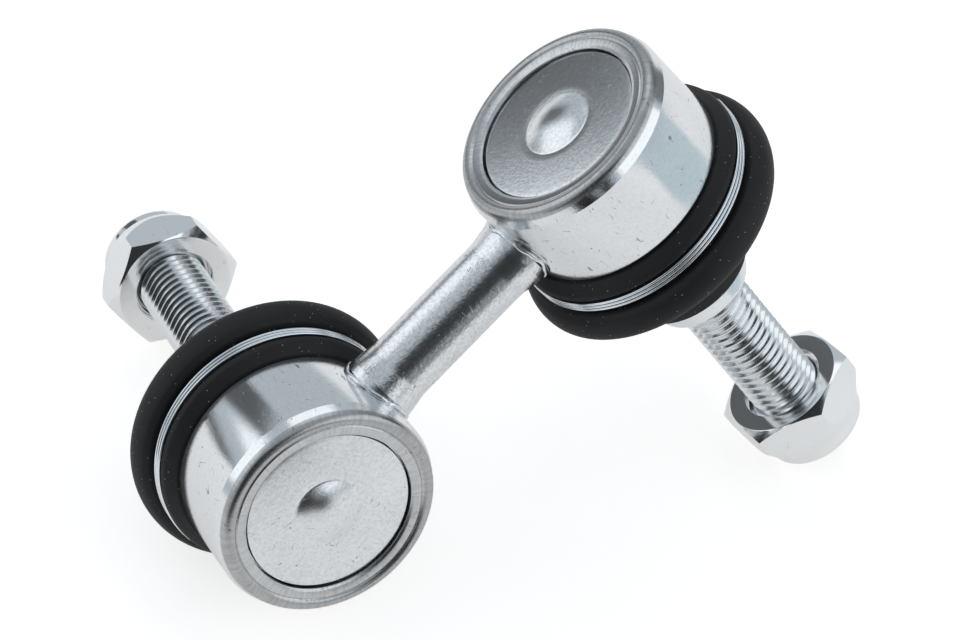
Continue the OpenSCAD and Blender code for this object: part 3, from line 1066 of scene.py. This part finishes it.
@dataclass
class LockNut:
    """Hexagon nut with a dome and a rolled locking collar on its far side.

    The near face's height is measured from the ball centre. Depths count from that face, sinks from the
    hexagon's far side.
    """

    near: float
    turn: float
    flats: float = 17.0
    face: float = 8.25
    face_slope: float = 1.2
    corner_depth: float = 2.5
    dome: Corner = Corner(8.75, 5.4, 4.0)
    hex_depth: float = 7.6
    depth: float = 10.0
    bore: float = 5.0
    countersink: float = 0.85
    collar: float = 7.5
    collar_step: float = 0.15
    collar_sink: float = 1.2
    collar_round: float = 1.3
    insert: float = 6.55
    insert_sink: float = 0.65
    curl: float = 5.3
    curl_thick: float = 0.85
    clear: float = 0.5
    dome_clear: float = 0.3
    edge: float = 0.16
    edge_angle: float = 26.0

    @property
    def far(self) -> float:
        """Height of the hexagon's far side."""
        return self.near + self.hex_depth

    @property
    def end(self) -> float:
        """Height of the collar's end."""
        return self.near + self.depth

    def _blank(self) -> bpy.types.Object:
        """Cuts a hexagon to its chamfer on the near side and its dome on the far side."""
        corner = corner_radius(self.flats)
        outside = corner + self.clear
        top = self.far + self.dome_clear
        middle = self.near + self.hex_depth / 2
        Bench.clear()
        bpy.ops.mesh.primitive_cylinder_add(
            vertices=6, radius=corner, depth=self.hex_depth, location=(0, 0, middle)
        )
        nut = bpy.context.object
        nut.name = "lock_nut"
        bpy.ops.object.transform_apply(location=True, rotation=True, scale=True)
        Bench.moved(nut, Matrix.Rotation(math.radians(self.turn) - math.pi / 2, 4, "Z"))
        envelope = Bench.turned("envelope", rounded([
            Corner(0.0, self.near),
            Corner(self.face, self.near, 0.25),
            Corner(outside, self.near + self.face_slope),
            Corner(outside, self.near + self.corner_depth),
            Corner(self.dome.r, self.near + self.dome.z, self.dome.fillet),
            Corner(self.collar, top),
            Corner(0.0, top),
        ]), steps=144)
        return Bench.cut(nut, envelope, "INTERSECT")

    def _crown(self) -> bpy.types.Object:
        """Turns the rolled collar."""
        radius = self.collar - self.collar_step
        low = self.far - self.collar_sink
        return Bench.turned("crown", rounded([
            Corner(0.0, low),
            Corner(radius, low),
            Corner(radius, self.end, self.collar_round),
            Corner(0.0, self.end),
        ]), steps=96)

    def _hole(self) -> bpy.types.Object:
        """Turns the countersunk bore, the insert's room and the opening under the curled edge."""
        below = self.near - self.clear
        insert_at = self.far - self.insert_sink
        insert_end = self.end - self.curl_thick
        above = self.end + 2 * self.clear
        return Bench.turned("hole", [
            (0.0, below), (self.bore + self.countersink + self.clear, below),
            (self.bore, self.near + self.countersink), (self.bore, insert_at), (self.insert, insert_at),
            (self.insert, insert_end), (self.curl, insert_end), (self.curl, above), (0.0, above),
        ], steps=96)

    def build(self) -> bpy.types.Object:
        """Adds the collar to the hexagon, opens the bore and breaks the edges."""
        nut = Bench.cut(self._blank(), self._crown(), "UNION")
        Bench.cut(nut, self._hole(), "DIFFERENCE")
        Bench.closed_up(nut, angle=20.0)
        Bench.modified(
            nut, "BEVEL", width=self.edge, segments=2, limit_method="ANGLE",
            angle_limit=math.radians(self.edge_angle), harden_normals=False,
        )
        return Bench.closed_up(nut, angle=30.0)


@dataclass
class LinkRod:
    """Round rod with upset ends and a rim of weld flash at each housing.

    Waves of the flash are given by their height, their number round the rod and their start.
    """

    radius: float = 4.6
    upset: float = 5.1
    upset_depth: float = 1.2
    upset_end: float = 4.2
    spacing: float = 56.0
    housing: float = 15.25
    sink: float = 0.6
    side: float = 1.1
    rise: float = -2.6
    flash_reach: float = 4.95
    flash_thick: float = 0.38
    flash_off: float = 0.22
    flash_waves: tuple[Triple, ...] = ((0.12, 5.0, 1.0), (0.07, 13.0, 0.0))

    def _rod(self) -> bpy.types.Object:
        """Turns the rod and lays it along the link, in the upper joint's frame."""
        near = self.housing - self.sink
        far = self.spacing - near
        corners = [
            Corner(0.0, near),
            Corner(self.upset, near),
            Corner(self.upset, near + self.upset_depth, 0.4),
            Corner(self.radius, near + self.upset_end, 4.0),
            Corner(self.radius, far - self.upset_end, 4.0),
            Corner(self.upset, far - self.upset_depth, 0.4),
            Corner(self.upset, far),
            Corner(0.0, far),
        ]
        obj = Bench.turned("link_rod", rounded(corners), steps=128)
        lay = Matrix.Translation((0, self.side, self.rise)) @ Matrix.Rotation(-math.pi / 2, 4, "Y")
        return Bench.moved(obj, lay)

    def _flash(self, name: str) -> bpy.types.Object:
        """Lays a bead of metal round the rod where it meets the housing.

        Args:
            name: the bead's name.

        Returns:
            The bead, in a joint's own frame.
        """
        Bench.clear()
        bpy.ops.mesh.primitive_circle_add(
            vertices=120, radius=self.flash_reach, rotation=(0, math.pi / 2, 0)
        )
        obj = bpy.context.object
        obj.name = name
        bpy.ops.object.transform_apply(location=True, rotation=True, scale=True)
        bpy.ops.transform.translate(value=(0, self.side, self.rise))
        bpy.ops.object.transform_apply(location=True, rotation=True, scale=True)
        middle = self.housing + self.flash_off
        for i, vertex in enumerate(obj.data.vertices):
            round_at = math.tau * i / len(obj.data.vertices)
            waves = (high * math.sin(count * round_at + start) for high, count, start in self.flash_waves)
            vertex.co.x = sum(waves) - math.sqrt(middle**2 - vertex.co.y**2)
        Bench.take(obj)
        bpy.ops.object.convert(target="CURVE")
        obj = bpy.context.object
        obj.data.bevel_depth = self.flash_thick
        obj.data.bevel_resolution = 4
        bpy.ops.object.convert(target="MESH")
        return Bench.closed_up(bpy.context.object, angle=60.0)

    def build(self, upper: Placement, lower: Placement) -> bpy.types.Object:
        """Makes the rod and both rims of flash and joins them in their place.

        Args:
            upper: place of the upper joint.
            lower: place of the lower joint.

        Returns:
            The rod, in the link's frame.
        """
        pieces = [Bench.moved(self._rod(), upper.housing.matrix)]
        for place in (upper, lower):
            bead = self._flash(f"{place.side.value}_flash")
            pieces.append(Bench.moved(bead, place.housing.matrix))
        Bench.clear()
        for piece in pieces:
            piece.select_set(True)
        bpy.context.view_layer.objects.active = pieces[0]
        bpy.ops.object.join()
        return pieces[0]


@dataclass
class LinkModel:
    """All the dressed pieces of the link."""

    frame: dict[str, Any]
    places: dict[Side, Placement] = field(default_factory=dict)
    nuts: dict[Side, LockNut] = field(
        default_factory=lambda: {Side.UPPER: LockNut(45.9, 26.0), Side.LOWER: LockNut(44.9, 32.0)}
    )

    def __post_init__(self) -> None:
        """Reads both joints' places."""
        for side in Side:
            self.places[side] = Placement.read(side, self.frame["joints"])

    def _settle(
        self, obj: bpy.types.Object, name: str, body: str, node: str,
        material: bpy.types.Material,
    ) -> None:
        """Names a piece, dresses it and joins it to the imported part.

        Args:
            obj: the piece, already in its place.
            name: the piece's name.
            body: the body it rides on.
            node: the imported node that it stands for.
            material: the piece's finish.
        """
        obj.name = name
        obj.data.name = name
        dressed(obj, material)
        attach(obj, body)
        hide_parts(node)
        LOG.info("%s: %d faces on %s", name, len(obj.data.polygons), body)

    def _joint_pieces(self) -> None:
        """Models each piece of a joint once and sets a copy of it at both ends."""
        masters: list[tuple[str, bpy.types.Object, str, str, ZincPlate]] = [
            ("housing", Housing().build(), "link", "zinc_steel", HOUSING_ZINC),
            ("cover_plate", CoverPlate().build(), "link", "zinc_steel", COVER_ZINC),
            ("ball_stud", BallStud().build(), "stud", "stud_steel", STUD_ZINC),
            ("clamp_ring", ClampRing().build(), "boot", "wire_steel", RING_WIRE),
        ]
        for kind, master, part, slot, finish in masters:
            for side, place in self.places.items():
                frame = place.stud if part == "stud" else place.housing
                obj = Bench.moved(Bench.copied(master, f"{side.value}_{kind}_dressed"), frame.matrix)
                body = "link" if part == "link" else f"{side.value}_{part}"
                self._settle(obj, obj.name, body, f"{side.value}_{kind}", finish.material(frame))
            bpy.data.objects.remove(master)

    def _nuts(self) -> None:
        """Models both nuts, each turned as it was left on its stud."""
        for side, place in self.places.items():
            nut = Bench.moved(self.nuts[side].build(), place.stud.matrix)
            self._settle(
                nut, f"{side.value}_lock_nut_dressed", f"{side.value}_nut", f"{side.value}_lock_nut",
                NUT_ZINC.material(place.stud),
            )

    def _boots(self) -> None:
        """Models the boot once; each copy bends from the housing to the stud."""
        boot = DustBoot()
        start, end = boot.bend_span
        master = boot.build()
        for side, place in self.places.items():
            obj = boot.leaned(Bench.copied(master, f"{side.value}_dust_boot_dressed"), place.lean)
            Bench.moved(obj, place.housing.matrix)
            obj.data.name = obj.name
            dressed(obj, BlackRubber().material(place.housing))
            tuple(place.housing.point(start))
            tuple(place.housing.point(end))
            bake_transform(obj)
            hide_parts(f"{side.value}_dust_boot")
            LOG.info("%s: %d faces", obj.name, len(obj.data.polygons))
        bpy.data.objects.remove(master)

    def _rod(self) -> None:
        """Models the rod between the two joints."""
        rod = LinkRod().build(self.places[Side.UPPER], self.places[Side.LOWER])
        finish = ROD_ZINC.material(self.places[Side.UPPER].housing)
        self._settle(rod, "link_rod_dressed", "link", "link_rod", finish)

    def _hidden(self) -> None:
        """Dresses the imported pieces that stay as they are."""
        finishes = {
            "ball_seat": PlainFinish("seat_plastic", (0.82, 0.8, 0.74), 0.45).material(),
            "boot_neck_ring": PlainFinish("neck_ring_steel", (0.6, 0.61, 0.62), 0.35, 1.0).material(),
            "nut_insert": PlainFinish("nut_nylon", (0.85, 0.86, 0.84), 0.4).material(),
        }
        for side in Side:
            for kind, finish in finishes.items():
                dressed(self.frame["nodes"][f"{side.value}_{kind}"], finish)

    def build(self) -> None:
        """Builds and dresses every piece."""
        self._joint_pieces()
        self._nuts()
        self._boots()
        self._rod()
        self._hidden()


@dataclass(frozen=True)
class Screen:
    """An upright panel round the link, given by the span of directions that it fills as the link sees it.

    Azimuth runs clockwise from straight behind the link, elevation up from the floor, both in degrees. The
    distance is in metres, and the level is the brightness of a lamp's face or the paleness of a card.
    """

    name: str
    azimuth: tuple[float, float]
    elevation: tuple[float, float]
    distance: float
    level: float
    tint: Colour = (1.0, 1.0, 1.0)
    glow: float = 0.0

    def matrix(self) -> Matrix:
        """The panel's place, facing the link, with its width and height as the scale of a unit square."""
        around = math.radians(sum(self.azimuth) / 2)
        above = math.radians(sum(self.elevation) / 2)
        level = math.cos(above)
        way = Vector((math.sin(around) * level, math.cos(around) * level, math.sin(above)))
        spot = Vector((0.0, 0.0, AIM_HEIGHT)) + way * self.distance
        turn = (-way).to_track_quat("-Z", "Y").to_matrix().to_4x4()
        return Matrix.Translation(spot) @ turn

    def size(self) -> tuple[float, float]:
        """The panel's width and height in metres."""
        wide = math.radians(self.azimuth[1] - self.azimuth[0])
        tall = math.radians(self.elevation[1] - self.elevation[0])
        lift = math.cos(math.radians(sum(self.elevation) / 2))
        return 2 * self.distance * math.tan(wide / 2) * lift, 2 * self.distance * math.tan(tall / 2)


@dataclass
class Studio:
    """White floor, soft boxes, cards and the camera of the picture.

    Places and the floor's size are in metres, the lens and the sensor in millimetres, angles in degrees.
    """

    lens: float = 120.0
    sensor: float = 36.0
    clip: Span = (0.02, 20.0)
    camera_at: Triple = (0.00024382, -0.26215473, 0.36178167)
    elevation: float = 51.3610
    roll: float = 3.247
    room: Colour = (0.47, 0.52, 0.56)
    matt: float = 0.9
    floor_size: float = 6.0
    floor_shade: Colour = (0.92, 0.88, 0.85)
    floor_glow: float = 0.6
    floor_mirrored: float = 0.53
    boxes: tuple[Screen, ...] = (
        Screen("right_box", (71.0, 143.0), (9.0, 44.0), 1.0, 0.6),
        Screen("left_box", (-112.0, -50.5), (11.5, 46.0), 1.0, 0.58),
        Screen("back_box", (-34.0, 22.0), (40.0, 64.0), 1.0, 0.55),
    )
    cards: tuple[Screen, ...] = (
        Screen("camera_card", (147.0, 212.0), (8.0, 58.0), 1.1, 0.04),
        Screen("front_card", (140.0, 216.0), (-6.5, 9.0), 0.3, 0.02),
        Screen("near_card", (154.5, 166.0), (-10.8, 2.6), 0.111, 0.02),
        Screen("blue_card", (66.0, 108.0), (-6.2, 6.0), 0.32, 1.0, (0.86, 0.97, 1.0), 0.12),
        Screen("left_card", (-50.0, -34.0), (-1.5, 22.0), 1.2, 0.19),
        Screen("low_card", (-71.0, -57.0), (-4.5, 0.6), 0.5, 0.04),
        Screen("right_card", (27.0, 62.0), (2.0, 26.0), 1.2, 0.35),
    )

    def _camera(self) -> None:
        """Sets the camera where the picture was taken from."""
        camera = bpy.data.objects.new("camera", bpy.data.cameras.new("camera"))
        bpy.context.scene.collection.objects.link(camera)
        camera.data.lens = self.lens
        camera.data.sensor_width = self.sensor
        camera.data.clip_start, camera.data.clip_end = self.clip
        tilt = Euler((math.radians(90.0 - self.elevation), 0.0, 0.0)).to_matrix()
        turn = tilt @ Matrix.Rotation(math.radians(self.roll), 3, "Z")
        camera.matrix_world = Matrix.Translation(self.camera_at) @ turn.to_4x4()
        bpy.context.scene.camera = camera

    def _floor(self) -> None:
        """Lays a white floor that keeps the link's soft shadow."""
        Bench.clear()
        bpy.ops.mesh.primitive_plane_add(size=self.floor_size)
        floor = bpy.context.object
        floor.name = "floor"
        tree = ShaderTree("floor_white")
        tree.set(Base_Color=self.floor_shade, Roughness=self.matt, Specular_IOR_Level=0.0)
        path = tree.nodes.new("ShaderNodeLightPath")
        straight = Socket(tree, path.outputs["Is Camera Ray"])
        mirrored = Socket(tree, path.outputs["Is Glossy Ray"])
        seen = straight + mirrored * self.floor_mirrored
        glow = tree.mixed(seen, (0.0, 0.0, 0.0), (1.0, 1.0, 1.0))
        tree.set(Emission_Color=glow, Emission_Strength=self.floor_glow)
        dressed(floor, tree.material)

    def _boxes(self) -> None:
        """Hangs the soft boxes; a box's level is the brightness of its face."""
        for box in self.boxes:
            data = bpy.data.lights.new(box.name, "AREA")
            data.shape = "RECTANGLE"
            data.size, data.size_y = box.size()
            data.energy = box.level * math.pi * data.size * data.size_y
            obj = bpy.data.objects.new(box.name, data)
            bpy.context.scene.collection.objects.link(obj)
            obj.matrix_world = box.matrix()

    def _cards(self) -> None:
        """Stands the cards, unseen by the camera, whose mirror images streak and tint the metal."""
        for card in self.cards:
            Bench.clear()
            bpy.ops.mesh.primitive_plane_add(size=1.0)
            obj = bpy.context.object
            obj.name = card.name
            wide, tall = card.size()
            obj.matrix_world = card.matrix() @ Matrix.Diagonal((wide, tall, 1.0, 1.0))
            obj.visible_camera = False
            shade = tuple(card.level * part for part in card.tint)
            dressed(obj, PlainFinish(card.name, shade, self.matt, glow=card.glow).material())

    def _room(self) -> None:
        """Lights the room evenly."""
        world = bpy.data.worlds.new("room")
        bpy.context.scene.world = world
        world.use_nodes = True
        background = world.node_tree.nodes["Background"]
        background.inputs["Color"].default_value = (*self.room, 1.0)
        background.inputs["Strength"].default_value = 1.0

    def build(self) -> None:
        """Sets up the whole studio."""
        self._camera()
        self._floor()
        self._boxes()
        self._cards()
        self._room()
        bpy.context.scene.view_settings.view_transform = "Standard"


def main() -> None:
    """Builds the link and its studio."""
    logging.basicConfig(level=logging.INFO, format="%(name)s: %(message)s")
    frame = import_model()
    LinkModel(frame).build()
    Studio().build()


if __name__ == "__main__":
    main()
